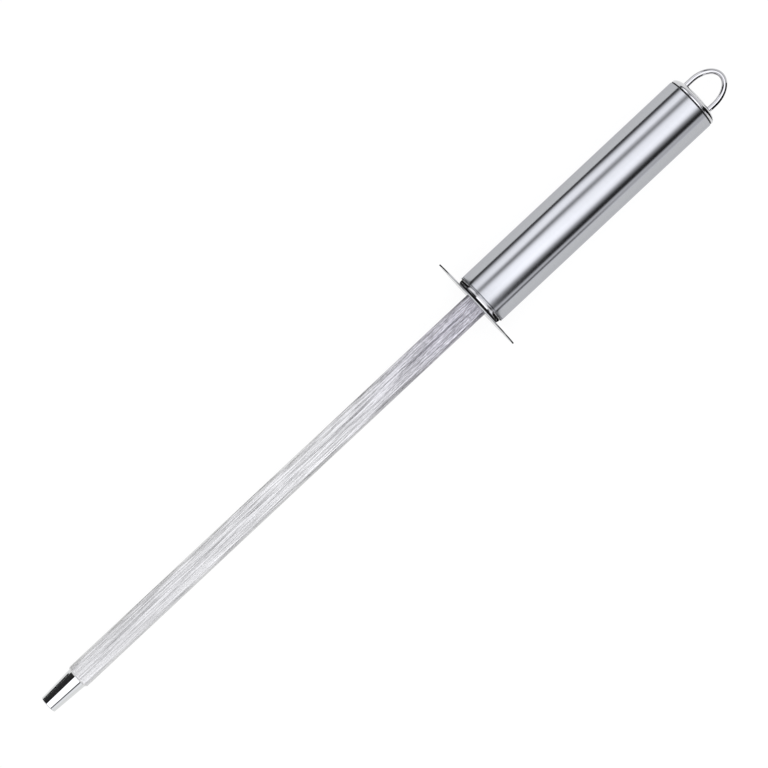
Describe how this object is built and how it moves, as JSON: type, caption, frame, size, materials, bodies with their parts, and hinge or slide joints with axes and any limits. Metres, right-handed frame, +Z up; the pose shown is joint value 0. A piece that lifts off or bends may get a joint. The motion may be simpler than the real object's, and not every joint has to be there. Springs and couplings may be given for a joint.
{
  "type": "knife sharpening steel",
  "caption": "Ribbed round sharpening steel with a polished tip, thin oval guard, brushed tubular metal handle and wire hanging loop.",
  "frame": {"origin": "under the middle of the steel's length, on the surface that the guard's lower edge stands on", "axes": "+X along the steel's axis towards the tip of the rod, +Y across, along the guard's long axis and in the plane of the hanging loop, +Z up, along the guard's short axis"},
  "size_m": [0.3166, 0.037, 0.021],
  "materials": {
    "ribbed_steel": "fine lengthwise ribs, hard chromed, polished at the tip",
    "guard_sheet": "thin rolled sheet, lightly polished",
    "polished_steel": "mirror polished",
    "brushed_tube": "satin, brushed round the tube",
    "polished_wire": "bright drawn wire",
    "beech": "turned, unvarnished",
    "zinc_plate": "zinc plated, dull"
  },
  "bodies": {
    "root": {"sharpening_rod": "ribbed_steel", "guard_plate": "guard_sheet", "front_collar": "polished_steel", "handle_tube": "brushed_tube", "core_plug": "beech", "flat_washer": "zinc_plate", "lock_washer": "zinc_plate", "tang_nut": "zinc_plate", "rear_cap": "polished_steel", "loop_backing_plate": "zinc_plate", "hanging_loop": "polished_wire"}
  },
  "joints": []
}
